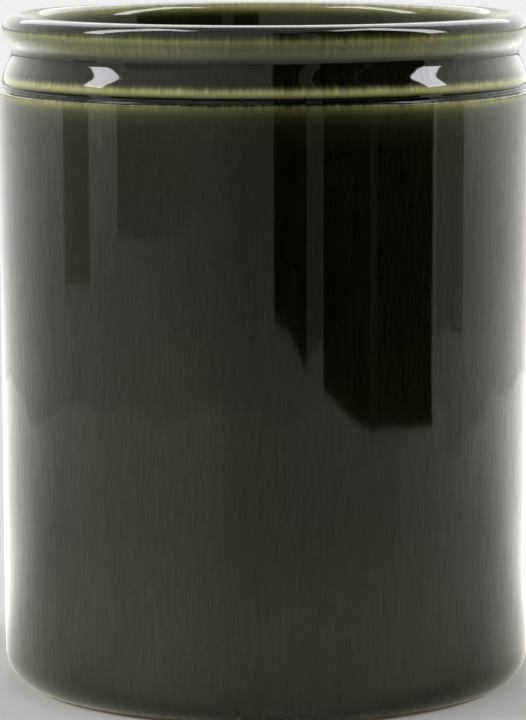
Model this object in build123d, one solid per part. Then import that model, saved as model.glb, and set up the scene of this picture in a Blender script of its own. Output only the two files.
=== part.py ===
from build123d import *

import os
from math import acos, asin, atan2, ceil, degrees, radians, sin
from typing import NamedTuple

# A thrown stoneware brush pot: a straight round jar with a rolled rim, a coved neck, a soft
# shoulder, one turned groove and a rounded heel. The fired clay is one piece. Three coats of
# glaze lie on it: outside, inside and in the recess under the base. The foot ring is bare.
# Millimetres, +Z up, origin at the centre of the foot.

# Overall form, measured over the glaze
height = 139.0  # foot to the crest of the rim
body_radius = 55.0  # the straight wall, the widest place
heel_radius = 7.0  # rounding from the wall to the foot

# Rolled rim and the cove under it
rim_inset = 0.9  # the rim's outer side, in from the body
neck_drop = 8.05  # crest of the rim to the narrowest place of the neck
neck_inset = 2.72  # the neck, in from the body
cove_radius = 2.7  # hollow of the neck

# Shoulder and the groove under it
shoulder_lean = 28.0  # degrees from upright where the cove becomes the shoulder
shoulder_crown_radius = 18.0  # the shoulder's gentle crown
groove_drop = 14.9  # crest of the rim to the middle of the groove
groove_depth = 1.15  # below the body's radius
groove_mouth = 1.6  # where it opens
groove_floor = 0.7  # the flat nose of the turning tool
lip_rounding = 0.3  # glaze softens the groove's two lips

# Inside
body_wall = 5.8  # thickness of the wall
mouth_step = 0.5  # the rolled rim stands in from the inside of the wall
floor_thickness = 6.0  # foot to the inside floor
inside_corner_radius = 5.0  # wall to floor inside

# Foot
foot_inset = 5.5  # the foot ring's outer side, in from the body
foot_ring_width = 6.5  # bare ring that the pot stands on
foot_recess_depth = 1.8
foot_recess_lean = 0.9  # the recess narrows by this towards its roof
wiped_height = 0.9  # foot to the edge of the glaze, where it was wiped off

# Glaze, thinner where it ran off an edge and thicker where it pooled
rim_glaze = 0.25
cove_glaze = 0.5
groove_glaze = 0.45
wall_glaze = 0.5
liner_glaze_thickness = 0.4
floor_glaze = 0.5
base_glaze_thickness = 0.4
base_glaze_margin = 0.6  # the base glaze stops short of the recess's side

# Arcs are turned as narrow straight bands, so that the faces stay few
glaze_band_depth = 0.11  # how far a band may lie from its true arc
clay_band_depth = 0.42  # the same under the glaze, where it doesn't show

# Places worked out from the sizes above
inside_radius = body_radius - body_wall
rim_thickness = body_wall + mouth_step - rim_inset
rim_roll_radius = rim_thickness / 2
crest_radius = body_radius - rim_inset - rim_roll_radius
roll_height = height - rim_roll_radius
neck_height = height - neck_drop
groove_height = height - groove_drop
foot_radius = body_radius - foot_inset
recess_radius = foot_radius - foot_ring_width
recess_roof_radius = recess_radius - foot_recess_lean


class Surface(NamedTuple):
    """How deep a surface lies under the finished glaze, and how finely its arcs are turned."""

    rim: float
    cove: float
    groove: float
    wall: float
    liner: float
    floor: float
    band_depth: float


FINISHED = Surface(0, 0, 0, 0, 0, 0, band_depth=glaze_band_depth)
CLAY = Surface(
    rim=rim_glaze,
    cove=cove_glaze,
    groove=groove_glaze,
    wall=wall_glaze,
    liner=liner_glaze_thickness,
    floor=floor_glaze,
    band_depth=clay_band_depth,
)


def in_bands(line, depth):
    """The same line with each arc as straight chords that lie no deeper than this from it."""
    corners = [line @ 0]
    for edge in line.edges():
        bands = 1
        if edge.geom_type == GeomType.CIRCLE:
            widest_turn = 2 * acos(1 - depth / edge.radius)
            bands = ceil(edge.length / edge.radius / widest_turn)
        corners += [edge @ ((band + 1) / bands) for band in range(bands)]
    return Polyline(corners)


def outside_line(surface):
    """Rim crest, roll, cove, shoulder, wall and heel, down to the edge of the glaze."""
    roll_radius = rim_roll_radius - surface.rim
    rim_radius = crest_radius + roll_radius
    neck_radius = body_radius - neck_inset - surface.cove
    hollow_radius = cove_radius + surface.cove
    hollow_centre_radius = neck_radius + hollow_radius
    wall_radius = body_radius - surface.wall

    # The underside of the roll is one arc that leaves the rim upright and meets the cove smoothly.
    rise = roll_height - neck_height
    reach = hollow_centre_radius - rim_radius
    overhang = 2 * (rim_radius - neck_radius)
    underside_radius = (rise**2 + reach**2 - hollow_radius**2) / overhang
    underside_turn = degrees(atan2(rise, reach + underside_radius))

    # The shoulder's crown ends level with the middle of the groove.
    crown_radius = shoulder_crown_radius - surface.wall
    crown_start = neck_height - hollow_radius * sin(radians(shoulder_lean))
    crown_fall = (crown_start - groove_height) / crown_radius
    crown_turn = shoulder_lean - degrees(asin(sin(radians(shoulder_lean)) - crown_fall))

    # The heel's arc would meet the foot's plane, and stops at the edge of the glaze.
    arc_radius = heel_radius - surface.wall
    heel_turn = degrees(asin((heel_radius - wiped_height) / arc_radius))

    with BuildLine() as line:
        roll = JernArc((crest_radius, height - surface.rim), (1, 0), roll_radius, -90)
        underside = JernArc(roll @ 1, (0, -1), underside_radius, -underside_turn)
        cove = JernArc(underside @ 1, underside % 1, hollow_radius, underside_turn + shoulder_lean)
        crown = JernArc(cove @ 1, cove % 1, crown_radius, -crown_turn)
        Polyline(crown @ 1, (wall_radius, groove_height), (wall_radius, heel_radius))
        JernArc((wall_radius, heel_radius), (0, -1), arc_radius, -heel_turn)
    return line.line


def inside_line(surface):
    """Rim crest, roll, wall, corner and floor, to the axis."""
    roll_radius = rim_roll_radius - surface.rim
    wall_radius = inside_radius + surface.liner
    floor_height = floor_thickness - surface.floor
    corner_radius = inside_corner_radius + surface.liner

    # The roll turns back under itself until it meets the wall.
    roll_turn = 90 + degrees(acos((crest_radius - wall_radius) / roll_radius))

    with BuildLine() as line:
        roll = JernArc((crest_radius, height - surface.rim), (-1, 0), roll_radius, roll_turn)
        wall = Line(roll @ 1, (wall_radius, floor_height + corner_radius))
        corner = JernArc(wall @ 1, (0, -1), corner_radius, -90)
        Line(corner @ 1, (0, floor_height))
    return line.line


def groove_section(surface):
    """The flat-nosed hollow that the turning tool leaves, in section."""
    floor_radius = body_radius - groove_depth - surface.groove
    floor_reach = groove_floor / 2 + surface.groove
    mouth_reach = groove_mouth / 2 + surface.groove
    return make_face(
        Polyline(
            (floor_radius, groove_height + floor_reach),
            (body_radius, groove_height + mouth_reach),
            (body_radius, groove_height - mouth_reach),
            (floor_radius, groove_height - floor_reach),
            close=True,
        )
    )


def pot_section(surface):
    """Everything inside a surface, from the axis to the outside, standing on the foot."""
    outside = in_bands(outside_line(surface), surface.band_depth)
    inside = in_bands(inside_line(surface), surface.band_depth)
    foot = Polyline(
        outside @ 1,
        (foot_radius, 0),
        (recess_radius, 0),
        (recess_roof_radius, foot_recess_depth),
        (0, foot_recess_depth),
        inside @ 1,
    )
    return make_face(outside.edges() + inside.edges() + foot.edges()) - groove_section(surface)


def softened(section):
    """Glaze takes the edge off the groove's two lips."""
    lips = section.vertices().sort_by_distance((body_radius, groove_height))[:2]
    return chamfer(lips, lip_rounding)


def block(inner_radius, low, outer_radius, high):
    """A plain rectangle of the section, for keeping or clearing what lies in it."""
    middle = Pos((inner_radius + outer_radius) / 2, (low + high) / 2)
    return middle * Rectangle(outer_radius - inner_radius, high - low)


def turned(section):
    """A section drawn as radius and height, turned once round the pot's axis."""
    return revolve(Plane.XZ * section, Axis.Z)


def stoneware_body():
    """The thrown and fired clay, with its bare foot ring."""
    return turned(clay_section)


def outside_glaze():
    """From the crest of the rim down to the wiped edge above the foot."""
    inside = block(0, floor_thickness - floor_glaze, crest_radius, height)
    below_edge = block(0, 0, body_radius, wiped_height)
    return turned(finished_section - clay_section - inside - below_edge)


def liner_glaze():
    """From the crest of the rim down the inside and over the floor."""
    inside = block(0, floor_thickness - floor_glaze, crest_radius, height)
    return turned((finished_section - clay_section) & inside)


def base_glaze():
    """A disc of glaze on the roof of the foot's recess, clear of what the pot stands on."""
    radius = recess_roof_radius - base_glaze_margin
    return turned(block(0, foot_recess_depth - base_glaze_thickness, radius, foot_recess_depth))


finished_section = softened(pot_section(FINISHED))
clay_section = pot_section(CLAY)

os.makedirs("parts", exist_ok=True)
for piece in (stoneware_body, outside_glaze, liner_glaze, base_glaze):
    export_step(piece(), f"parts/{piece.__name__}.step")
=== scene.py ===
"""A thrown stoneware brush pot under a dark olive runny glaze, dressed over its CAD frame."""

import logging
import math
from dataclasses import dataclass, field
from enum import Enum

import bpy
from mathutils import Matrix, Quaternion, Vector


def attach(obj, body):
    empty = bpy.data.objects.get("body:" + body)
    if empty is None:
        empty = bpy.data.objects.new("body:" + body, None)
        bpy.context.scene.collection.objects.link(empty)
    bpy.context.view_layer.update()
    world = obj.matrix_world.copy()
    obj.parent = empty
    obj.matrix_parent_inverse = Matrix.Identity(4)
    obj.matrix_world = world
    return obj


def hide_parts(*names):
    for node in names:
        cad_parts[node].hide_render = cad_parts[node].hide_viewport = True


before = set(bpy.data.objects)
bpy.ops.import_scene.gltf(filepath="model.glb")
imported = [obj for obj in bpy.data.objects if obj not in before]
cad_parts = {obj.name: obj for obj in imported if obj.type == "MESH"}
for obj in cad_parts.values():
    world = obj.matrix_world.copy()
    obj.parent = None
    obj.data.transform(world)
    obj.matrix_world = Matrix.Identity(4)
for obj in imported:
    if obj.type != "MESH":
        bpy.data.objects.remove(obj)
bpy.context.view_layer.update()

logging.basicConfig(level=logging.INFO, format="%(message)s")
log = logging.getLogger("brush_pot")

MM = 0.001
BODY = "root"

Point = tuple[float, float]
Colour = tuple[float, float, float]
Stops = tuple[Point, ...]
Socket = bpy.types.NodeSocket
Node = bpy.types.Node
NodeTree = bpy.types.NodeTree
Material = bpy.types.Material
Thing = bpy.types.Object
Key = int | str


class Layer(Enum):
    """The pot's four layers: the CAD node that each piece stands for, which is its slot too."""

    CLAY = ("stoneware_body", "bare_stoneware")
    OUTSIDE = ("outside_glaze", "outside_glaze")
    LINER = ("liner_glaze", "liner_glaze")
    BASE = ("base_glaze", "base_glaze")

    @property
    def node(self) -> str:
        """The CAD node's name."""
        return self.value[0]

    @property
    def slot(self) -> str:
        """Its material slot."""
        return self.value[1]


# --- Sections ---


@dataclass
class SectionLine:
    """A section drawn as radius and height, in runs and arcs that join smoothly."""

    radius: float
    height: float
    heading: float
    points: list[Point] = field(default_factory=list)

    def __post_init__(self) -> None:
        """The line starts where it is placed."""
        self.points.append((self.radius, self.height))

    def arc(self, bend: float, turn: float, steps: int) -> "SectionLine":
        """Goes on along an arc.

        Args:
            bend: The arc's radius, in metres.
            turn: How far it turns, in degrees, anticlockwise if positive.
            steps: How many chords it has.

        Returns:
            This line, at the arc's end.
        """
        side = math.copysign(1.0, turn)
        start = self.heading - side * math.pi / 2
        centre_radius = self.radius - bend * math.cos(start)
        centre_height = self.height - bend * math.sin(start)
        for step in range(1, steps + 1):
            angle = start + math.radians(turn) * step / steps
            self.move(centre_radius + bend * math.cos(angle), centre_height + bend * math.sin(angle))
        self.heading += math.radians(turn)
        return self

    def run(self, radius: float, height: float, steps: int = 1) -> "SectionLine":
        """Goes on straight to a place.

        Args:
            radius: Distance from the axis at its end.
            height: Height at its end.
            steps: How many equal chords it has.

        Returns:
            This line, at the run's end.
        """
        first_radius, first_height = self.radius, self.height
        self.heading = math.atan2(height - first_height, radius - first_radius)
        for step in range(1, steps + 1):
            part = step / steps
            self.move(
                first_radius + (radius - first_radius) * part,
                first_height + (height - first_height) * part,
            )
        return self

    def move(self, radius: float, height: float) -> None:
        """Adds one point and stands there."""
        self.radius, self.height = radius, height
        self.points.append((radius, height))


def softened(before: Point, corner: Point, after: Point, bend: float, steps: int) -> list[Point]:
    """Rounds one corner of a section.

    Args:
        before: The point before the corner.
        corner: The sharp corner.
        after: The point after it.
        bend: Radius of the rounding.
        steps: Chords in the rounding.

    Returns:
        The points that take the corner's place.
    """
    middle = Vector(corner)
    back, ahead = (Vector(before) - middle).normalized(), (Vector(after) - middle).normalized()
    half = back.angle(ahead) / 2
    reach = bend / math.tan(half)
    centre = middle + (back + ahead).normalized() * bend / math.sin(half)
    start, end = middle + back * reach - centre, middle + ahead * reach - centre
    turn = start.angle_signed(end)
    rounded = []
    for step in range(steps + 1):
        angle = -turn * step / steps
        cosine, sine = math.cos(angle), math.sin(angle)
        spoke = Vector((start.x * cosine - start.y * sine, start.x * sine + start.y * cosine))
        rounded.append(tuple(centre + spoke))
    return rounded


@dataclass(frozen=True)
class Depth:
    """How far a surface lies under the finished glaze, and how finely its arcs are drawn."""

    rim: float = 0.0
    cove: float = 0.0
    groove: float = 0.0
    wall: float = 0.0
    liner: float = 0.0
    floor: float = 0.0
    fineness: int = 1


FINISHED = Depth(fineness=3)
CLAY = Depth(rim=0.25 * MM, cove=0.5 * MM, groove=0.45 * MM, wall=0.5 * MM, liner=0.4 * MM, floor=0.5 * MM)


@dataclass(frozen=True)
class PotSizes:
    """The pot's own sizes in metres, over the glaze."""

    height: float = 139.0 * MM
    body_radius: float = 55.0 * MM
    heel_top_radius: float = 54.5 * MM
    heel_radius: float = 7.0 * MM
    rim_inset: float = 0.9 * MM
    rim_roll: float = 2.7 * MM
    neck_drop: float = 7.75 * MM
    neck_inset: float = 2.7 * MM
    cove_radius: float = 2.7 * MM
    neck_bend: float = 3.4 * MM
    neck_lean: float = 20.0
    shoulder_ease: float = 16.0 * MM
    shoulder_lean: float = 27.0
    shoulder_crown: float = 10.0 * MM
    groove_drop: float = 14.9 * MM
    groove_depth: float = 1.15 * MM
    groove_mouth: float = 1.6 * MM
    groove_floor: float = 0.7 * MM
    lip_bend: float = 0.16 * MM
    lip_steps: int = 4
    body_wall: float = 5.8 * MM
    floor_thickness: float = 6.0 * MM
    inside_corner: float = 5.0 * MM
    mouth_lean: float = 7.0
    mouth_slope: float = 2.6 * MM
    mouth_bulge: float = 14.0 * MM
    mouth_ease: float = 30.0 * MM
    foot_radius: float = 49.5 * MM
    foot_ring_width: float = 6.5 * MM
    foot_recess_depth: float = 1.8 * MM
    foot_recess_lean: float = 0.9 * MM
    foot_bend: float = 0.45 * MM
    wiped_height: float = 0.9 * MM
    base_glaze: float = 0.4 * MM
    base_margin: float = 0.6 * MM

    @property
    def crest_radius(self) -> float:
        """Where the rim is highest."""
        return self.body_radius - self.rim_inset - self.rim_roll

    @property
    def groove_height(self) -> float:
        """The middle of the groove."""
        return self.height - self.groove_drop

    @property
    def recess_radius(self) -> float:
        """The foot ring's inner side."""
        return self.foot_radius - self.foot_ring_width

    @property
    def recess_roof_radius(self) -> float:
        """The recess at its roof."""
        return self.recess_radius - self.foot_recess_lean

    def outside(self, depth: Depth) -> list[Point]:
        """Rim crest, roll, cove, shoulder, groove, wall and heel, down to the wiped edge.

        Args:
            depth: Which surface it is.

        Returns:
            The points, from the crest down.
        """
        fine = depth.fineness
        roll = self.rim_roll - depth.rim
        rim_radius = self.crest_radius + roll
        neck_radius = self.body_radius - self.neck_inset - depth.cove
        hollow = self.cove_radius + depth.cove
        rise = self.neck_drop - self.rim_roll
        reach = neck_radius + hollow - rim_radius
        underside = (rise**2 + reach**2 - hollow**2) / (2 * (rim_radius - neck_radius))
        underside_turn = math.degrees(math.atan2(rise, reach + underside))
        line = SectionLine(self.crest_radius, self.height - depth.rim, 0.0)
        line.arc(roll, -90, 4 * fine)
        line.arc(underside, -underside_turn, 2 * fine)
        line.arc(hollow, underside_turn, 2 * fine)
        line.arc(self.neck_bend + depth.cove, self.neck_lean, 2 * fine)
        line.arc(self.shoulder_ease + depth.wall, self.shoulder_lean - self.neck_lean, fine)
        crown = self.shoulder_crown - depth.wall
        lean = math.radians(self.shoulder_lean)
        lip_height = self.groove_height + self.groove_mouth / 2
        crown_end = math.asin(math.sin(lean) - (line.height - lip_height) / crown)
        line.arc(crown, -math.degrees(lean - crown_end), 2 * fine)
        line.points.pop()
        line.points += self.groove(line.radius, line.points[-1], depth)
        line.radius, line.height = line.points[-1]
        line.run(self.heel_top_radius - depth.wall, self.heel_radius, 14 * fine)
        heel = self.heel_radius - depth.wall
        heel_turn = math.degrees(math.asin((self.heel_radius - self.wiped_height) / heel))
        line.heading = -math.pi / 2
        line.arc(heel, -heel_turn, 3 * fine)
        return line.points

    def groove(self, lip_radius: float, before: Point, depth: Depth) -> list[Point]:
        """The turned groove under the shoulder, with its lips and floor rounded.

        Args:
            lip_radius: The upper lip's radius.
            before: The shoulder's last point above the lip.
            depth: Which surface it is.

        Returns:
            The points from the upper lip to just under the lower one.
        """
        floor_radius = self.body_radius - self.groove_depth - depth.groove
        mouth, floor = self.groove_mouth / 2, self.groove_floor / 2
        middle = self.groove_height
        wall_radius = self.body_radius - depth.wall
        corners = [
            before,
            (lip_radius, middle + mouth),
            (floor_radius, middle + floor),
            (floor_radius, middle - floor),
            (wall_radius, middle - mouth),
            (wall_radius, middle - 2 * mouth),
        ]
        if depth.fineness == 1:
            return corners[1:]
        points: list[Point] = []
        for index in range(1, 5):
            points += softened(*corners[index - 1 : index + 2], self.lip_bend, self.lip_steps)
        return [*points, corners[5]]

    def inside(self, depth: Depth) -> list[Point]:
        """Rim crest, roll, wall, corner and floor, to the axis.

        Args:
            depth: Which surface it is.

        Returns:
            The points, from the crest inwards and down.
        """
        fine = depth.fineness
        roll = self.rim_roll - depth.rim
        wall_radius = self.body_radius - self.body_wall + depth.liner
        floor_height = self.floor_thickness - depth.floor
        corner = self.inside_corner + depth.liner
        line = SectionLine(self.crest_radius, self.height - depth.rim, math.pi)
        line.arc(roll, 90 - self.mouth_lean, 4 * fine)
        inward = self.mouth_slope * math.tan(math.radians(self.mouth_lean))
        line.run(line.radius - inward, line.height - self.mouth_slope, fine)
        line.arc(self.mouth_bulge - depth.liner, 2 * self.mouth_lean, 2 * fine)
        line.arc(self.mouth_ease + depth.liner, -self.mouth_lean, fine)
        line.run(wall_radius, floor_height + corner, 12 * fine)
        line.heading = -math.pi / 2
        line.arc(corner, -90, 3 * fine)
        line.run(0.0, floor_height, 6 * fine)
        return line.points


# --- Node wiring ---


class Wiring:
    """Adds nodes to one tree and joins them."""

    def __init__(self, tree: NodeTree) -> None:
        """Works on this tree."""
        self.tree = tree

    @classmethod
    def cleared(cls, block: Material | bpy.types.World) -> "Wiring":
        """Starts a tree without the nodes it comes with.

        Args:
            block: A material or a world.

        Returns:
            The wiring of its tree.
        """
        block.use_nodes = True
        block.node_tree.nodes.clear()
        return cls(block.node_tree)

    def node(self, kind: str, **settings: object) -> Node:
        """Adds a node.

        Args:
            kind: The node's type name.
            **settings: Its properties.

        Returns:
            The node.
        """
        made = self.tree.nodes.new(kind)
        for name, value in settings.items():
            setattr(made, name, value)
        return made

    def feed(self, socket: Socket, value: object) -> None:
        """Links a socket to the input, or sets the input's own value.

        Args:
            socket: The input.
            value: A socket, or a plain value.
        """
        if isinstance(value, Socket):
            self.tree.links.new(value, socket)
        else:
            socket.default_value = value

    def use(self, kind: str, inputs: dict[Key, object], output: Key = 0, **settings: object) -> Socket:
        """Adds a node, feeds it and gives one of its outputs.

        Args:
            kind: The node's type name.
            inputs: What goes into each input, by name or number.
            output: The output's name or number.
            **settings: The node's properties.

        Returns:
            The output socket.
        """
        made = self.node(kind, **settings)
        self.fill(made, inputs)
        return made.outputs[output]

    def fill(self, made: Node, inputs: dict[Key, object]) -> None:
        """Feeds a node's inputs, by name or number."""
        for name, value in inputs.items():
            self.feed(made.inputs[name], value)

    def here(self) -> Socket:
        """Where the shaded point is, in the object's own coordinates."""
        return self.node("ShaderNodeTexCoord").outputs["Object"]

    def show(self, kind: str, surface: Socket) -> None:
        """Ends the tree with an output node of this kind."""
        self.feed(self.node(kind).inputs["Surface"], surface)

    def math(self, operation: str, *values: object, clamp: bool = False) -> Socket:
        """A Math node on one to three values, whose result may be kept between 0 and 1."""
        return self.use("ShaderNodeMath", dict(enumerate(values)), operation=operation, use_clamp=clamp)

    def plus(self, first: object, second: object) -> Socket:
        """The sum of two values."""
        return self.math("ADD", first, second)

    def minus(self, first: object, second: object) -> Socket:
        """The first value less the second."""
        return self.math("SUBTRACT", first, second)

    def times(self, first: object, second: object) -> Socket:
        """The product of two values."""
        return self.math("MULTIPLY", first, second)

    def scaled(self, value: object, factor: object, shift: object) -> Socket:
        """A value times a factor, plus a shift."""
        return self.math("MULTIPLY_ADD", value, factor, shift)

    def vector(self, operation: str, *values: object, output: Key = 0) -> Socket:
        """A Vector Math node on one or two vectors; a SCALE takes its factor second."""
        inputs = dict(zip((0, "Scale" if operation == "SCALE" else 1), values))
        return self.use("ShaderNodeVectorMath", inputs, output, operation=operation)

    def parts(self, vector: Socket) -> tuple[Socket, Socket, Socket]:
        """Takes a vector apart.

        Args:
            vector: The vector.

        Returns:
            Its X, its Y and its Z.
        """
        made = self.node("ShaderNodeSeparateXYZ")
        self.feed(made.inputs[0], vector)
        return made.outputs[0], made.outputs[1], made.outputs[2]

    def joined(self, *parts: object) -> Socket:
        """A vector of an X, a Y and a Z."""
        return self.use("ShaderNodeCombineXYZ", dict(enumerate(parts)))

    def blend(self, factor: object, first: object, second: object) -> Socket:
        """Mixes two colours.

        Args:
            factor: How much of the second there is.
            first: A socket or a colour.
            second: A socket or a colour.

        Returns:
            The mixed colour.
        """
        made = self.node("ShaderNodeMix", data_type="RGBA")
        self.feed(made.inputs["Factor"], factor)
        for socket, value in ((made.inputs[6], first), (made.inputs[7], second)):
            self.feed(socket, (*value, 1.0) if isinstance(value, tuple) else value)
        return made.outputs[2]

    def between(
        self, value: object, low: object, high: object, start: float = 0.0, end: float = 1.0
    ) -> Socket:
        """A smooth step of a value from low to high, given out as start to end."""
        inputs = {"Value": value, "From Min": low, "From Max": high, "To Min": start, "To Max": end}
        return self.use("ShaderNodeMapRange", inputs, "Result", interpolation_type="SMOOTHSTEP")

    def profile(self, value: Socket, stops: Stops) -> Socket:
        """A value looked up along a line of stops.

        Args:
            value: What is looked up.
            stops: Places and what is given there, places rising, results from 0 to 1.

        Returns:
            The result.
        """
        low, high = stops[0][0], stops[-1][0]
        ramp = self.node("ShaderNodeValToRGB")
        ramp.color_ramp.interpolation = "EASE"
        elements = ramp.color_ramp.elements
        while len(elements) < len(stops):
            elements.new(0.5)
        for element, (at, result) in zip(elements, stops):
            element.position = (at - low) / (high - low)
            element.color = (result, result, result, 1.0)
        place = self.use("ShaderNodeMapRange", {"Value": value, "From Min": low, "From Max": high}, "Result")
        self.feed(ramp.inputs["Fac"], place)
        return ramp.outputs["Color"]


NewGroup = tuple[NodeTree, Wiring, dict[str, Socket], Node]


def new_group(name: str, kind: str, inputs: dict[str, object], outputs: dict[str, str]) -> NewGroup:
    """Starts a node group.

    Args:
        name: The group's name.
        kind: The tree's type.
        inputs: Each input's default, or the type of its socket where it has none.
        outputs: The type of each output's socket.

    Returns:
        The tree, its wiring, its input sockets by name, and its output node.
    """
    kinds = {float: "NodeSocketFloat", int: "NodeSocketInt", tuple: "NodeSocketColor"}
    tree = bpy.data.node_groups.new(name, kind)
    for label, default in inputs.items():
        bare = isinstance(default, str)
        socket_kind = default if bare else kinds[type(default)]
        socket = tree.interface.new_socket(name=label, in_out="INPUT", socket_type=socket_kind)
        if not bare:
            socket.default_value = default
    for label, socket_kind in outputs.items():
        tree.interface.new_socket(name=label, in_out="OUTPUT", socket_type=socket_kind)
    net = Wiring(tree)
    entry = net.node("NodeGroupInput")
    return tree, net, {s.name: s for s in entry.outputs if s.name}, net.node("NodeGroupOutput")


def put_in_scene(name: str, mesh: bpy.types.Mesh) -> Thing:
    """Makes an object of a mesh and links it to the scene.

    Args:
        name: The object's name.
        mesh: Its mesh.

    Returns:
        The object.
    """
    thing = bpy.data.objects.new(name, mesh)
    bpy.context.scene.collection.objects.link(thing)
    return thing


# --- Turning a section on the wheel ---


@dataclass
class Wheel:
    """The Geometry Nodes tree that turns a closed section once round the axis."""

    segments: int = 640
    sharp_edge: float = math.radians(40.0)
    merge_within: float = 0.001 * MM
    steady_axis: float = 30.0 * MM
    waver_scale: float = 1.6
    waver_rise: float = 22.0

    def __post_init__(self) -> None:
        """Builds the tree once for all pieces."""
        self.tree, net, inputs, output = new_group(
            "Turned On The Wheel",
            "GeometryNodeTree",
            {
                "Section": "NodeSocketGeometry",
                "Segments": self.segments,
                "Throwing Ring Pitch": 7.0 * MM,
                "Throwing Ring Depth": 0.0,
                "Hand Waver": 0.0,
                "Steady Below": 2.0 * MM,
                "Seed": 3.0,
                "Material": "NodeSocketMaterial",
            },
            {"Geometry": "NodeSocketGeometry"},
        )
        section, steady = inputs["Section"], inputs["Steady Below"]
        count = net.use("GeometryNodeAttributeDomainSize", {"Geometry": section}, "Point Count")
        flat = {
            "Size X": 1.0,
            "Size Y": 1.0,
            "Vertices X": net.plus(count, 1.0),
            "Vertices Y": net.plus(inputs["Segments"], 1.0),
        }
        position = net.node("GeometryNodeInputPosition").outputs[0]
        across, around, _ = net.parts(position)
        along = net.math("ROUND", net.times(net.plus(across, 0.5), count))
        turn = net.times(net.plus(around, 0.5), math.tau)
        corner = {"Geometry": section, "Value": position, "Index": net.math("MODULO", along, count)}
        drawn = net.use("GeometryNodeSampleIndex", corner, "Value", data_type="FLOAT_VECTOR")
        radius, _, height = net.parts(drawn)
        cosine, sine = net.math("COSINE", turn), net.math("SINE", turn)
        pitches = net.math("DIVIDE", height, inputs["Throwing Ring Pitch"])
        coil = net.plus(pitches, net.math("DIVIDE", turn, math.tau))
        ring = net.times(net.math("SINE", net.times(coil, math.tau)), inputs["Throwing Ring Depth"])
        hand = {
            "Vector": net.joined(cosine, sine, net.times(height, self.waver_rise)),
            "W": inputs["Seed"],
            "Scale": self.waver_scale,
            "Detail": 2.0,
        }
        noise = net.use("ShaderNodeTexNoise", hand, noise_dimensions="4D")
        waver = net.times(net.minus(noise, 0.5), net.times(inputs["Hand Waver"], 2.0))
        free = net.between(height, steady, net.times(steady, 3.0))
        shift = net.times(net.plus(ring, waver), free)
        turned = net.plus(radius, net.times(shift, net.between(radius, 0.0, self.steady_axis)))
        place = net.joined(net.times(turned, cosine), net.times(turned, sine), height)
        grid = net.use("GeometryNodeMeshGrid", flat, "Mesh")
        moved = net.use("GeometryNodeSetPosition", {"Geometry": grid, "Position": place})
        closed = net.use("GeometryNodeMergeByDistance", {"Geometry": moved, "Distance": self.merge_within})
        lone = net.math("LESS_THAN", net.node("GeometryNodeInputMeshEdgeNeighbors").outputs[0], 0.5)
        edges = {"Geometry": closed, "Selection": lone}
        skin = net.use("GeometryNodeDeleteGeometry", edges, domain="EDGE", mode="EDGE_FACE")
        smooth = net.use("GeometryNodeSetShadeSmooth", {0: skin}, domain="FACE")
        angle = net.node("GeometryNodeInputMeshEdgeAngle").outputs["Unsigned Angle"]
        sharp = net.math("GREATER_THAN", angle, self.sharp_edge)
        creases = {0: smooth, "Selection": sharp, "Shade Smooth": False}
        creased = net.use("GeometryNodeSetShadeSmooth", creases, domain="EDGE")
        whole = net.use("GeometryNodeRealizeInstances", {"Geometry": creased})
        dressed = net.use("GeometryNodeSetMaterial", {"Geometry": whole, "Material": inputs["Material"]})
        net.feed(output.inputs[0], dressed)

    def turn(
        self, name: str, section: list[Point], material: Material, **inputs: float
    ) -> Thing:
        """Turns a closed section into a plain mesh.

        Args:
            name: The piece's name.
            section: The section's corners, radius and height, clockwise, with radius to the right.
            material: What it is dressed in.
            **inputs: Named inputs of the tree, with _ for a space.

        Returns:
            The piece.
        """
        mesh = bpy.data.meshes.new(f"{name}_section")
        edges = [(index, (index + 1) % len(section)) for index in range(len(section))]
        mesh.from_pydata([(radius, 0.0, height) for radius, height in section], edges, [])
        drawing = put_in_scene(f"{name}_section", mesh)
        modifier = drawing.modifiers.new("Wheel", "NODES")
        modifier.node_group = self.tree
        sockets = {s.name: s.identifier for s in self.tree.interface.items_tree if s.in_out == "INPUT"}
        modifier[sockets["Material"]] = material
        for label, value in inputs.items():
            modifier[sockets[label.replace("_", " ")]] = value
        graph = bpy.context.evaluated_depsgraph_get()
        result = bpy.data.meshes.new_from_object(drawing.evaluated_get(graph))
        drawing.modifiers.clear()
        bpy.data.objects.remove(drawing)
        bpy.data.meshes.remove(mesh)
        result.name = name
        return put_in_scene(name, result)


# --- Effects shared by several finishes ---


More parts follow.
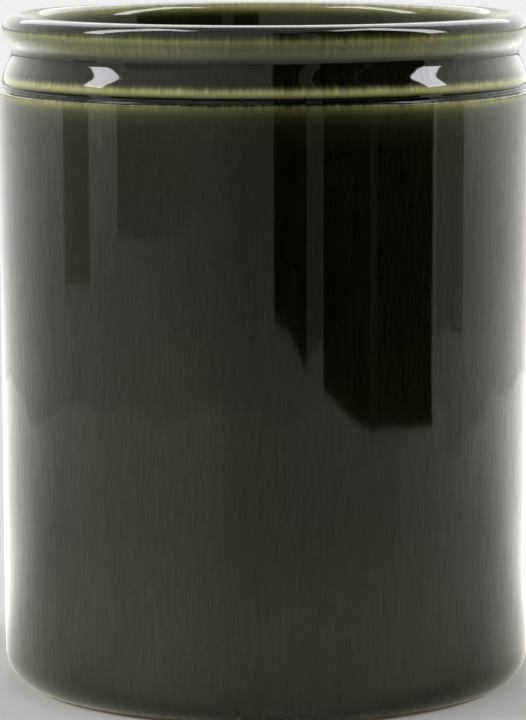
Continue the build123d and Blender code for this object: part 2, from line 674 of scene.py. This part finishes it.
@dataclass
class Effects:
    """Shader groups that put out streaks, the glaze's colour, and specks."""

    wall_begins: Point = (43.0 * MM, 45.5 * MM)
    milky: Colour = (1.0, 1.0, 0.7)
    darkest: float = 0.0005
    speck_edge: Point = (0.35, 0.15)
    grit_fineness: float = 2.5

    def __post_init__(self) -> None:
        """Builds every group once."""
        self.runs = self.vertical_runs()
        self.breaking = self.glaze_breaking()
        self.speckle = self.iron_speckle()

    def vertical_runs(self) -> NodeTree:
        """Streaks that run down the pot, whatever the slope of its wall, and cloud its flat inside and base.

        Returns:
            The group.
        """
        tree, net, inputs, output = new_group(
            "Vertical Runs",
            "ShaderNodeTree",
            {"Width": 1.0 * MM, "Length": 20.0 * MM, "Roughness": 0.6, "Seed": 0.0},
            {"Runs": "NodeSocketFloat"},
        )
        where = net.here()
        level = net.vector("MULTIPLY", where, (1.0, 1.0, 0.0))
        upright = net.vector("MULTIPLY", where, (0.0, 0.0, 1.0))
        on_wall = net.between(net.vector("LENGTH", level, output="Value"), *self.wall_begins)
        wall = net.vector("SCALE", net.vector("NORMALIZE", level), PotSizes.body_radius)
        spread = net.vector("SCALE", net.vector("SUBTRACT", wall, level), on_wall)
        placed = net.vector("ADD", level, spread)
        across = net.vector("SCALE", placed, net.math("DIVIDE", 1.0, inputs["Width"]))
        down = net.vector("SCALE", upright, net.math("DIVIDE", 1.0, inputs["Length"]))
        streaks = {
            "Vector": net.vector("ADD", across, down),
            "W": inputs["Seed"],
            "Scale": 1.0,
            "Detail": 3.0,
            "Roughness": inputs["Roughness"],
        }
        net.feed(output.inputs["Runs"], net.use("ShaderNodeTexNoise", streaks, noise_dimensions="4D"))
        return tree

    def glaze_breaking(self) -> NodeTree:
        """The glaze's colour by its thickness, which darkens as coloured glass does.

        Returns:
            The group.
        """
        straw, pool = (*RunnyGlaze.straw, 1.0), (*RunnyGlaze.pool, 1.0)
        tree, net, inputs, output = new_group(
            "Glaze Breaking",
            "ShaderNodeTree",
            {"Thickness": 1.0, "Straw": straw, "Pool": pool, "Haze": 0.0},
            {"Color": "NodeSocketColor"},
        )
        thinnest, thickest = net.node("ShaderNodeSeparateColor"), net.node("ShaderNodeSeparateColor")
        net.feed(thinnest.inputs[0], inputs["Straw"])
        net.feed(thickest.inputs[0], inputs["Pool"])
        colour = net.node("ShaderNodeCombineColor")
        for channel, milky in enumerate(self.milky):
            thin, thick = thinnest.outputs[channel], thickest.outputs[channel]
            kept = net.math("POWER", net.math("DIVIDE", thick, thin), inputs["Thickness"])
            hazed = net.scaled(inputs["Haze"], milky, net.times(thin, kept))
            net.feed(colour.inputs[channel], net.math("MAXIMUM", hazed, self.darkest))
        net.feed(output.inputs["Color"], colour.outputs[0])
        return tree

    def iron_speckle(self) -> NodeTree:
        """Fine dark specks of iron, and pale grit, in the clay.

        Returns:
            The group.
        """
        tree, net, inputs, output = new_group(
            "Iron Speckle",
            "ShaderNodeTree",
            {"Size": 0.8 * MM, "Amount": 0.3},
            {"Specks": "NodeSocketFloat", "Grit": "NodeSocketFloat"},
        )
        where = net.here()
        scale = net.math("DIVIDE", 1.0, inputs["Size"])
        cells = net.node("ShaderNodeTexVoronoi")
        net.fill(cells, {"Vector": where, "Scale": scale, "Randomness": 1.0})
        lot = net.use("ShaderNodeSeparateColor", {0: cells.outputs["Color"]})
        chosen = net.math("LESS_THAN", lot, inputs["Amount"])
        speck = net.times(net.between(cells.outputs["Distance"], *self.speck_edge), chosen)
        net.feed(output.inputs["Specks"], speck)
        finer = net.times(scale, self.grit_fineness)
        grit = {"Vector": where, "Scale": finer, "Detail": 4.0, "Roughness": 0.7}
        net.feed(output.inputs["Grit"], net.use("ShaderNodeTexNoise", grit))
        return tree


# --- Finishes ---


def new_material(name: str, colour: Colour) -> tuple[Material, Wiring, Node]:
    """Starts a material with a Principled shader.

    Args:
        name: The material's name.
        colour: The colour that a plain viewport shows.

    Returns:
        The material, its wiring, and the shader.
    """
    material = bpy.data.materials.new(name)
    material.use_nodes = True
    material.diffuse_color = (*colour, 1.0)
    return material, Wiring(material.node_tree), material.node_tree.nodes["Principled BSDF"]


@dataclass(frozen=True)
class RunnyGlaze:
    """Dark olive runny glaze, glossy, straw where it breaks over an edge."""

    name: str
    breaks: Stops
    foot: Stops = ()
    # Heights where the thickness swings round the pot as painted side light: darker in front, lighter to the
    # sides.
    painted_side_light: Stops = ()
    painted_side_light_round: float = 3.0
    straw: Colour = (0.4, 0.395, 0.168)
    pool: Colour = (0.0034, 0.004, 0.0009)
    shown: Colour = (0.05, 0.055, 0.025)
    fine_run: Point = (0.8 * MM, 9.0 * MM)
    broad_run: Point = (3.5 * MM, 45.0 * MM)
    hair_run: Point = (0.4 * MM, 3.5 * MM)
    ripple_run: Point = (2.2 * MM, 30.0 * MM)
    broad_share: float = 0.6
    drag: float = 0.6 * MM
    runs_from: float = 123.2 * MM
    runs_to: float = 119.0 * MM
    long_drag: float = 3.0 * MM
    mottle: float = 0.32
    haze: float = 0.009
    ior: float = 1.42
    roughness: Point = (0.03, 0.07)
    coat: float = 0.28
    coat_roughness: float = 0.03
    sheen: float = 0.6
    relief: float = 0.008 * MM
    fine_relief: float = 0.3
    hair_relief: float = 0.1
    seed: float = 1.0

    def run(self, net: Wiring, effects: Effects, streak: Point, seed: float) -> Socket:
        """One scale of the streaks that run down the pot.

        Args:
            net: The material's wiring.
            effects: The shared groups.
            streak: A streak's width and length.
            seed: Which streaks.

        Returns:
            A value about 0.5.
        """
        inputs = {"Width": streak[0], "Length": streak[1], "Seed": self.seed + seed}
        return net.use("ShaderNodeGroup", inputs, "Runs", node_tree=effects.runs)

    def material(self, effects: Effects) -> Material:
        """Builds the glaze.

        Args:
            effects: The shared groups.

        Returns:
            The material.
        """
        material, net, shader = new_material(self.name, self.shown)
        right, ahead, height = net.parts(net.here())
        fine = self.run(net, effects, self.fine_run, 0.0)
        broad = self.run(net, effects, self.broad_run, 5.0)
        hair = self.run(net, effects, self.hair_run, 13.0)
        ripple = self.run(net, effects, self.ripple_run, 9.0)
        streak = net.minus(net.scaled(broad, self.broad_share, fine), (1.0 + self.broad_share) / 2)
        reach = net.between(height, self.runs_to, self.runs_from, self.long_drag, self.drag)
        dragged = net.scaled(streak, reach, height)
        thickness = net.profile(dragged, self.breaks)
        if self.foot:
            thickness = net.math("MINIMUM", thickness, net.profile(dragged, self.foot))
        thickness = net.scaled(streak, self.mottle, thickness)
        # Painted side light: the thickness swings three times round from the front, so the straw band under
        # the groove is painted darker in front and lighter to the sides.
        if self.painted_side_light:
            around = net.math("ARCTAN2", right, net.times(ahead, -1.0))
            painted_side_wave = net.math("COSINE", net.times(around, self.painted_side_light_round))
            thickness = net.scaled(painted_side_wave, net.profile(height, self.painted_side_light), thickness)
        look = {
            "Thickness": thickness,
            "Straw": (*self.straw, 1.0),
            "Pool": (*self.pool, 1.0),
            "Haze": net.times(net.minus(hair, 0.5), self.haze),
        }
        colour = net.use("ShaderNodeGroup", look, "Color", node_tree=effects.breaking)
        streaked = net.minus(net.plus(hair, fine), 1.0)
        relief = net.plus(ripple, net.scaled(fine, self.fine_relief, net.times(hair, self.hair_relief)))
        bump = {"Strength": 1.0, "Distance": self.relief, "Height": relief}
        surface = {
            "Base Color": colour,
            "IOR": self.ior,
            "Roughness": net.between(fine, 0.2, 0.8, *self.roughness),
            "Coat Weight": net.math("MULTIPLY_ADD", streaked, self.sheen, self.coat, clamp=True),
            "Coat Roughness": self.coat_roughness,
            "Normal": net.use("ShaderNodeBump", bump, "Normal"),
        }
        net.fill(shader, surface)
        return material


@dataclass(frozen=True)
class FiredClay:
    """Bare stoneware, tan and slightly gritty."""

    name: str
    colour: Colour = (0.47, 0.37, 0.24)
    shade: Colour = (0.33, 0.25, 0.16)
    iron: Colour = (0.06, 0.04, 0.025)
    roughness: Point = (0.75, 0.92)
    relief: float = 0.05 * MM
    relief_strength: float = 0.6

    def material(self, effects: Effects) -> Material:
        """Builds the clay.

        Args:
            effects: The shared groups.

        Returns:
            The material.
        """
        material, net, shader = new_material(self.name, self.colour)
        group = net.node("ShaderNodeGroup", node_tree=effects.speckle)
        grit, specks = group.outputs["Grit"], group.outputs["Specks"]
        ground = net.blend(net.between(grit, 0.3, 0.7), self.shade, self.colour)
        bump = {"Strength": self.relief_strength, "Distance": self.relief, "Height": grit}
        surface = {
            "Base Color": net.blend(specks, ground, self.iron),
            "Roughness": net.between(grit, 0.2, 0.8, *self.roughness),
            "Normal": net.use("ShaderNodeBump", bump, "Normal"),
        }
        net.fill(shader, surface)
        return material


def at_heights(*stops: Point) -> Stops:
    """Thicknesses of the glaze by height, with the heights given in millimetres."""
    return tuple((height * MM, thickness) for height, thickness in stops)


# Low on the wall the coat is a little thinner, so the wall is lighter towards the bottom.
OUTSIDE_BREAKS = at_heights(
    (20.0, 0.86), (68.0, 0.92), (90.0, 1.0), (114.5, 0.98), (118.6, 0.80), (121.1, 0.56), (122.0, 0.38),
    (122.7, 0.24), (123.1, 0.17), (123.35, 0.28), (123.55, 1.0), (124.6, 1.0), (125.0, 0.36), (125.4, 0.12),
    (125.85, 0.04), (126.2, 0.06), (126.6, 0.22), (127.0, 0.50), (127.5, 0.92), (128.2, 1.0), (131.5, 1.0),
    (132.1, 0.60), (132.6, 0.31), (133.5, 0.21), (134.7, 0.28), (135.95, 0.15), (136.4, 0.36), (137.1, 0.62),
    (137.6, 0.92), (138.5, 0.90), (139.2, 0.55),
)
# Painted side light: from 116.5 to 123.6 mm the coat is made thicker in front and thinner towards the sides,
# three times round, so the band under the groove is painted darker in front and lighter at the sides.
OUTSIDE_PAINTED_SIDE_LIGHT = at_heights(
    (116.5, 0.0), (121.5, 0.08), (123.4, 0.12), (123.6, 0.0),
)
OUTSIDE_FOOT = at_heights(
    (0.8, 0.12), (1.3, 0.35), (2.2, 0.85), (4.0, 1.0),
)
LINER_BREAKS = at_heights(
    (5.0, 1.0), (90.0, 0.95), (125.0, 0.85), (134.5, 0.80), (135.8, 0.72), (136.6, 0.45), (137.4, 0.18),
    (138.4, 0.10), (139.2, 0.50),
)
BASE_BREAKS = at_heights((0.5, 0.7), (1.42, 0.75), (1.8, 0.25))


# --- Pieces ---


@dataclass
class Piece:
    """One layer of the pot: its sizes, its mesh and its finish."""

    sizes: PotSizes
    wheel: Wheel
    effects: Effects
    hand_waver: float = 0.03 * MM

    def keep(
        self, name: str, section: list[Point], finish: RunnyGlaze | FiredClay, layer: Layer, **inputs: float
    ) -> None:
        """Turns a section into a finished piece and joins it to the frame.

        Args:
            name: The piece's name.
            section: Its closed section.
            finish: What it is dressed in.
            layer: What it stands for.
            **inputs: Named inputs of the wheel's tree, with _ for a space.
        """
        look = finish.material(self.effects)
        piece = self.wheel.turn(name, section, look, Hand_Waver=self.hand_waver, **inputs)
        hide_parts(layer.node)
        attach(piece, BODY)
        piece.data.validate()
        log.info("%s: %d faces for %s", piece.name, len(piece.data.polygons), layer.node)


@dataclass
class OutsideGlaze(Piece):
    """The coat from the crest of the rim down to the wiped edge above the foot."""

    def build(self) -> None:
        """Builds and dresses the coat."""
        section = self.sizes.outside(FINISHED) + self.sizes.outside(CLAY)[::-1]
        glaze = RunnyGlaze("runny_olive_glaze", OUTSIDE_BREAKS, OUTSIDE_FOOT, OUTSIDE_PAINTED_SIDE_LIGHT)
        self.keep("glazed_outside", section, glaze, Layer.OUTSIDE)


@dataclass
class LinerGlaze(Piece):
    """The coat from the crest of the rim down the inside and over the floor."""

    ring_depth: float = 0.06 * MM

    def build(self) -> None:
        """Builds and dresses the coat."""
        section = self.sizes.inside(CLAY) + self.sizes.inside(FINISHED)[::-1]
        glaze = RunnyGlaze("runny_liner_glaze", LINER_BREAKS, seed=21.0)
        self.keep("glazed_inside", section, glaze, Layer.LINER, Throwing_Ring_Depth=self.ring_depth)


@dataclass
class BaseGlaze(Piece):
    """The pool of glaze on the roof of the foot's recess."""

    edge_steps: int = 8
    roof_steps: int = 4
    pool_steps: int = 10
    drag: float = 0.1 * MM

    def build(self) -> None:
        """Builds and dresses the pool."""
        roof = self.sizes.foot_recess_depth
        low = roof - self.sizes.base_glaze
        radius = self.sizes.recess_roof_radius - self.sizes.base_margin
        edge = SectionLine(0.0, roof, 0.0).run(radius, roof, self.roof_steps)
        edge.heading = -math.pi / 2
        edge.arc(self.sizes.base_glaze, -90, self.edge_steps).run(0.0, low, self.pool_steps)
        glaze = RunnyGlaze("pooled_base_glaze", BASE_BREAKS, drag=self.drag, seed=43.0)
        self.keep("glazed_base", edge.points, glaze, Layer.BASE)


@dataclass
class ThrownBody(Piece):
    """The fired clay: hidden under the glaze, bare at the foot ring."""

    bend_steps: int = 5

    def build(self) -> None:
        """Builds and dresses the clay."""
        sizes = self.sizes
        outside = sizes.outside(CLAY)
        roof = sizes.foot_recess_depth
        corners = [
            outside[-1],
            (sizes.foot_radius, 0.0),
            (sizes.recess_radius, 0.0),
            (sizes.recess_roof_radius, roof),
            (0.0, roof),
        ]
        foot: list[Point] = []
        for index in (1, 2, 3):
            foot += softened(*corners[index - 1 : index + 2], sizes.foot_bend, self.bend_steps)
        section = outside + foot + [(0.0, roof)] + sizes.inside(CLAY)[:0:-1]
        self.keep("thrown_body", section, FiredClay("bare_tan_stoneware"), Layer.CLAY)


# --- Studio ---


POT_MIDDLE = Vector((0.0, 0.0, 0.07))


def round_the_pot(azimuth: float, elevation: float, distance: float, height: float = POT_MIDDLE.z) -> Vector:
    """A place round the pot.

    Args:
        azimuth: Degrees from the front, to the right if positive.
        elevation: Degrees above the level of the height.
        distance: Metres from the axis at that height.
        height: Height it is measured from.

    Returns:
        The place.
    """
    turn, rise = math.radians(azimuth), math.radians(elevation)
    level = math.cos(rise) * distance
    return Vector((math.sin(turn) * level, -math.cos(turn) * level, height + math.sin(rise) * distance))


def glow(name: str, light: float, tint: Colour) -> Material:
    """A plain even glow.

    Args:
        name: The material's name.
        light: Its radiance.
        tint: Its colour.

    Returns:
        The material.
    """
    material = bpy.data.materials.new(name)
    net = Wiring.cleared(material)
    emission = net.use("ShaderNodeEmission", {"Color": (*tint, 1.0), "Strength": light})
    net.show("ShaderNodeOutputMaterial", emission)
    return material


def hang_for_gloss(
    name: str, corners: list[Vector], faces: list[tuple[int, ...]], look: Material
) -> None:
    """Hangs a surface that shows only in the pot's gloss.

    Args:
        name: Its name.
        corners: Its corners.
        faces: Its faces.
        look: Its material.
    """
    mesh = bpy.data.meshes.new(name)
    mesh.from_pydata(corners, [], faces)
    mesh.materials.append(look)
    thing = put_in_scene(name, mesh)
    thing.visible_camera = thing.visible_diffuse = thing.visible_shadow = False
    thing.visible_transmission = thing.visible_volume_scatter = False


@dataclass(frozen=True)
class Card:
    """A card bent round the pot, standing on the floor, whose lower edge may rise."""

    name: str
    start: float
    end: float
    distance: float
    top: float
    light: float
    foot: Stops = ((0.0, 0.0), (1.0, 0.0))
    steps: int = 32
    tint: Colour = (1.0, 1.03, 0.8)

    def lift(self, part: float) -> float:
        """How high the lower edge is, part of the way along.

        Args:
            part: How far along the card, from 0 to 1.

        Returns:
            The height.
        """
        for (before, low), (after, high) in zip(self.foot, self.foot[1:]):
            if part <= after:
                return low + (high - low) * (part - before) / (after - before)
        return self.foot[-1][1]

    def build(self) -> None:
        """Stands the card up."""
        low, high = [], []
        for step in range(self.steps + 1):
            part = step / self.steps
            spot = round_the_pot(self.start + (self.end - self.start) * part, 0.0, self.distance, 0.0)
            low.append(spot + Vector((0.0, 0.0, self.lift(part))))
            high.append(spot + Vector((0.0, 0.0, self.top)))
        count = self.steps + 1
        faces = [(i, i + 1, count + 1 + i, count + i) for i in range(self.steps)]
        hang_for_gloss(self.name, low + high, faces, glow(self.name, self.light, self.tint))


@dataclass(frozen=True)
class Panel:
    """A flat bright panel that faces the pot."""

    name: str
    azimuth: float
    elevation: float
    distance: float
    width: float
    height: float
    light: float
    tint: Colour = (1.0, 0.99, 1.02)

    def build(self) -> None:
        """Hangs the panel."""
        centre = round_the_pot(self.azimuth, self.elevation, self.distance)
        away = (centre - POT_MIDDLE).normalized()
        across = Vector((0.0, 0.0, 1.0)).cross(away).normalized() * self.width / 2
        up = away.cross(across).normalized() * self.height / 2
        corners = [centre - across - up, centre + across - up, centre + across + up, centre - across + up]
        hang_for_gloss(self.name, corners, [(0, 1, 2, 3)], glow(self.name, self.light, self.tint))


@dataclass(frozen=True)
class SoftBox:
    """A square lamp that faces the pot and lights its colours, but isn't seen in its gloss."""

    name: str
    azimuth: float
    elevation: float
    distance: float
    size: float
    radiance: float

    def build(self) -> None:
        """Hangs the lamp."""
        lamp = bpy.data.lights.new(self.name, "AREA")
        lamp.shape = "SQUARE"
        lamp.size = self.size
        lamp.energy = self.radiance * self.size**2 * math.pi
        holder = bpy.data.objects.new(self.name, lamp)
        holder.location = round_the_pot(self.azimuth, self.elevation, self.distance)
        holder.rotation_mode = "QUATERNION"
        holder.rotation_quaternion = (POT_MIDDLE - holder.location).to_track_quat("-Z", "Y")
        holder.visible_camera = holder.visible_glossy = False
        bpy.context.scene.collection.objects.link(holder)


@dataclass(frozen=True)
class RoomLight:
    """How bright the room is round the pot: dim and warm in front, brightest behind to each side."""

    front: float = 0.65
    left_fill: float = 0.32
    behind: float = 2.55
    behind_right: float = 0.4
    behind_power: float = 2.5
    middle_dip: float = 0.62
    dip_aside: float = 0.5
    dip_ahead: float = 0.7
    fill_left: Point = (-0.05, -0.7)
    fill_ahead: Point = (0.3, -0.4)
    near_front: float = 0.2
    near_behind: float = 0.25
    far_loss: float = -0.33
    warm_power: float = 0.8
    warm_tint: Colour = (0.0, 0.02, -0.19)

    def group(self) -> NodeTree:
        """Builds the light by where it comes from: a direction, and how near and how far off.

        Returns:
            A shader group.
        """
        tree, net, inputs, output = new_group(
            "Surrounding Light",
            "ShaderNodeTree",
            {"Direction": "NodeSocketVector", "Near": 0.0, "Far": 0.0},
            {"Color": "NodeSocketColor"},
        )
        level = net.vector("NORMALIZE", net.vector("MULTIPLY", inputs["Direction"], (1.0, 1.0, 0.0)))
        right, ahead, _ = net.parts(level)
        behind = net.math("MULTIPLY_ADD", ahead, 0.5, 0.5, clamp=True)
        aside = net.between(net.math("ABSOLUTE", right), 0.0, self.dip_aside)
        deep = net.between(ahead, 0.0, self.dip_ahead, 0.0, self.middle_dip)
        dip = net.times(deep, net.minus(1.0, aside))
        leftward = net.between(right, *self.fill_left, 0.0, self.left_fill)
        front = net.plus(net.times(leftward, net.between(ahead, *self.fill_ahead)), self.front)
        front = net.times(front, net.scaled(inputs["Near"], self.near_front, 1.0))
        lobes = net.math("POWER", behind, self.behind_power)
        for factor in (
            net.scaled(right, self.behind_right, self.behind),
            net.minus(1.0, dip),
            net.scaled(inputs["Near"], self.near_behind, 1.0),
        ):
            lobes = net.times(lobes, factor)
        light = net.times(net.plus(front, lobes), net.scaled(inputs["Far"], self.far_loss, 1.0))
        warm = net.math("POWER", net.minus(1.0, behind), self.warm_power)
        channels = [net.times(light, net.scaled(warm, tint, 1.0)) for tint in self.warm_tint]
        net.feed(output.inputs["Color"], net.joined(*channels))
        return tree


@dataclass(frozen=True)
class Studio:
    """A pale floor, a pale world, soft lamps, and what the gloss of the pot sees round it."""

    floor_radius: float = 9.0
    floor_opening: float = 46.0 * MM
    floor_sides: int = 96
    floor_colour: Colour = (0.68, 0.68, 0.675)
    floor_bounce: Colour = (0.3, 0.3, 0.3)
    floor_lit: float = 1.26
    floor_fades: Point = (0.3, 1.2)
    near_fades: Point = (0.12, 0.30)
    edge_fades: Point = (0.445, 0.465)
    edge_wave: float = 0.3
    edge_share: float = 0.62
    far_fades: Point = (0.45, 0.95)
    ambient: float = 0.5
    ambient_level: float = 0.35
    ambient_aside: float = 1.3
    backdrop: float = 0.87
    upper_room: float = 0.5
    upper_fades: Point = (0.6, 0.92)
    lamps: tuple[SoftBox, ...] = (
        SoftBox("left_lamp", -80.0, 25.0, 3.0, 1.15, 20.0),
        SoftBox("right_lamp", 86.0, 25.0, 3.0, 1.15, 14.5),
        SoftBox("top_lamp", 180.0, 70.0, 3.0, 1.4, 2.0),
    )
    panels: tuple[Panel, ...] = (
        Panel("left_tall_panel", -81.0, 46.0, 0.9, 0.17, 0.8, 10.5),
        Panel("right_tall_panel", 81.0, 46.0, 0.9, 0.17, 0.8, 10.5),
        Panel("left_high_panel", -78.0, 66.0, 1.0, 0.38, 0.12, 9.0),
        Panel("right_high_panel", 76.0, 66.0, 1.0, 0.4, 0.12, 9.0),
        Panel("back_panel", 180.0, 46.0, 1.2, 1.6, 0.95, 3.5),
    )
    cards: tuple[Card, ...] = (
        Card(
            "right_black_card",
            22.8,
            71.6,
            0.43,
            0.9,
            0.0,
            ((0, 0.014), (0.2, 0.0057), (0.34, 0.0015), (1, 0)),
        ),
        Card("narrow_black_card", 3.4, 16.6, 0.575, 0.9, 0.0, ((0, 0.014), (0.4, 0.011), (0.9, 0), (1, 0))),
        Card("narrow_grey_card", 16.6, 22.8, 0.58, 0.9, 0.18, ((0, 0), (1, 0.008))),
        Card("faint_strip", 42.2, 45.4, 0.425, 0.9, 0.05, ((0, 0.001), (1, 0.001))),
        Card("left_dim_card", -64.0, -23.0, 0.95, 0.6, 0.46, ((0, 0), (0.6, 0), (1, 0.01))),
        Card("left_stand", -93.0, -78.2, 0.78, 0.1, 0.49),
        Card("right_stand", 75.0, 90.2, 0.63, 0.1, 0.43, ((0, 0), (0.5, 0.004), (0.55, 0), (1, 0))),
    )

    def floor(self, light: NodeTree) -> None:
        """Lays the floor: plain and pale, for gloss as bright as the room is there, and clear from below.

        Args:
            light: The room light's group.
        """
        mesh = bpy.data.meshes.new("studio_floor")
        count = self.floor_sides
        turns = [math.tau * side / count for side in range(count)]
        corners = [
            (math.cos(turn) * radius, math.sin(turn) * radius, 0.0)
            for radius in (self.floor_opening, self.floor_radius)
            for turn in turns
        ]
        pairs = [(side, (side + 1) % count) for side in range(count)]
        faces = [(side, count + side, count + after, after) for side, after in pairs]
        mesh.from_pydata(corners, [], faces)
        material = bpy.data.materials.new("pale_paper")
        net = Wiring.cleared(material)
        where = net.here()
        distance = net.vector("LENGTH", where, output="Value")
        wave = net.use("ShaderNodeTexNoise", {"Vector": where, "Scale": 4.0, "Detail": 1.0})
        edge = net.scaled(net.minus(wave, 0.5), self.edge_wave, distance)
        veil = net.between(edge, *self.edge_fades, 0.0, self.edge_share)
        far = net.plus(veil, net.between(distance, *self.far_fades, 0.0, 1.0 - self.edge_share))
        near = net.between(distance, *self.near_fades, 1.0, 0.0)
        place = {"Direction": where, "Near": near, "Far": far}
        room = net.use("ShaderNodeGroup", place, "Color", node_tree=light)
        colour = net.vector("SCALE", room, 1.0 / self.floor_lit)
        path = net.node("ShaderNodeLightPath")
        paper = net.blend(path.outputs["Is Diffuse Ray"], self.floor_colour, self.floor_bounce)
        surface = net.use("ShaderNodeBsdfDiffuse", {"Color": paper})
        backdrop = {"Color": (*(self.backdrop,) * 3, 1.0), "Strength": 1.0}
        below = net.node("ShaderNodeNewGeometry").outputs["Backfacing"]
        for part, other in (
            (
                net.times(path.outputs["Is Camera Ray"], net.between(distance, *self.floor_fades)),
                net.use("ShaderNodeEmission", backdrop),
            ),
            (path.outputs["Is Glossy Ray"], net.use("ShaderNodeBsdfDiffuse", {"Color": colour})),
            (below, net.node("ShaderNodeBsdfTransparent").outputs[0]),
        ):
            surface = net.use("ShaderNodeMixShader", {0: part, 1: surface, 2: other})
        net.show("ShaderNodeOutputMaterial", surface)
        mesh.materials.append(material)
        put_in_scene("studio_floor", mesh)

    def world(self, light: NodeTree) -> None:
        """Lights the world: plain for the camera and for colour, and the room's light for gloss.

        Args:
            light: The room light's group.
        """
        world = bpy.data.worlds.new("pale_room")
        bpy.context.scene.world = world
        net = Wiring.cleared(world)
        direction = net.node("ShaderNodeTexCoord").outputs["Generated"]
        right, _, up = net.parts(direction)
        path = net.node("ShaderNodeLightPath")
        room = net.use("ShaderNodeGroup", {"Direction": direction, "Far": 1.0}, "Color", node_tree=light)
        mirrored = net.blend(net.between(up, *self.upper_fades), room, (self.upper_room,) * 3)
        aside = net.scaled(net.times(right, right), self.ambient_aside, self.ambient_level)
        lit = net.blend(path.outputs["Is Glossy Ray"], net.times(aside, self.ambient), mirrored)
        seen = net.math("MAXIMUM", path.outputs["Is Camera Ray"], path.outputs["Is Transmission Ray"])
        colour = net.blend(seen, lit, (self.backdrop,) * 3)
        background = net.use("ShaderNodeBackground", {"Color": colour, "Strength": 1.0})
        net.show("ShaderNodeOutputWorld", background)

    def build(self) -> None:
        """Sets up the floor, the world, the lamps, the panels and the cards."""
        light = RoomLight().group()
        self.floor(light)
        self.world(light)
        for thing in (*self.lamps, *self.panels, *self.cards):
            thing.build()
        log.info("studio: %d lamps, %d panels, %d cards", len(self.lamps), len(self.panels), len(self.cards))


@dataclass(frozen=True)
class Viewpoint:
    """The camera: in front of the pot, a little above it, through a long lens."""

    distance: float = 0.8883
    height: float = 0.1822
    pitch: float = 7.40
    turn: float = 0.0358
    roll: float = -0.131
    lens: float = 215.2
    sensor: float = 36.0
    sees_from: float = 0.05
    sees_to: float = 50.0

    def build(self) -> None:
        """Places the camera."""
        camera = bpy.data.cameras.new("camera")
        camera.sensor_width = self.sensor
        camera.lens = self.lens
        camera.clip_start = self.sees_from
        camera.clip_end = self.sees_to
        holder = bpy.data.objects.new("camera", camera)
        holder.location = (0.0, -self.distance, self.height)
        holder.rotation_mode = "QUATERNION"
        holder.rotation_quaternion = (
            Quaternion((0, 0, 1), math.radians(self.turn))
            @ Quaternion((1, 0, 0), math.radians(90 - self.pitch))
            @ Quaternion((0, 0, 1), math.radians(self.roll))
        )
        bpy.context.scene.collection.objects.link(holder)
        bpy.context.scene.camera = holder


def main() -> None:
    """Builds the pot and its studio."""
    bpy.context.scene.view_settings.view_transform = "Standard"
    sizes, wheel, effects = PotSizes(), Wheel(), Effects()
    for layer in (ThrownBody, OutsideGlaze, LinerGlaze, BaseGlaze):
        layer(sizes, wheel, effects).build()
    Studio().build()
    Viewpoint().build()


if __name__ == "__main__":
    main()
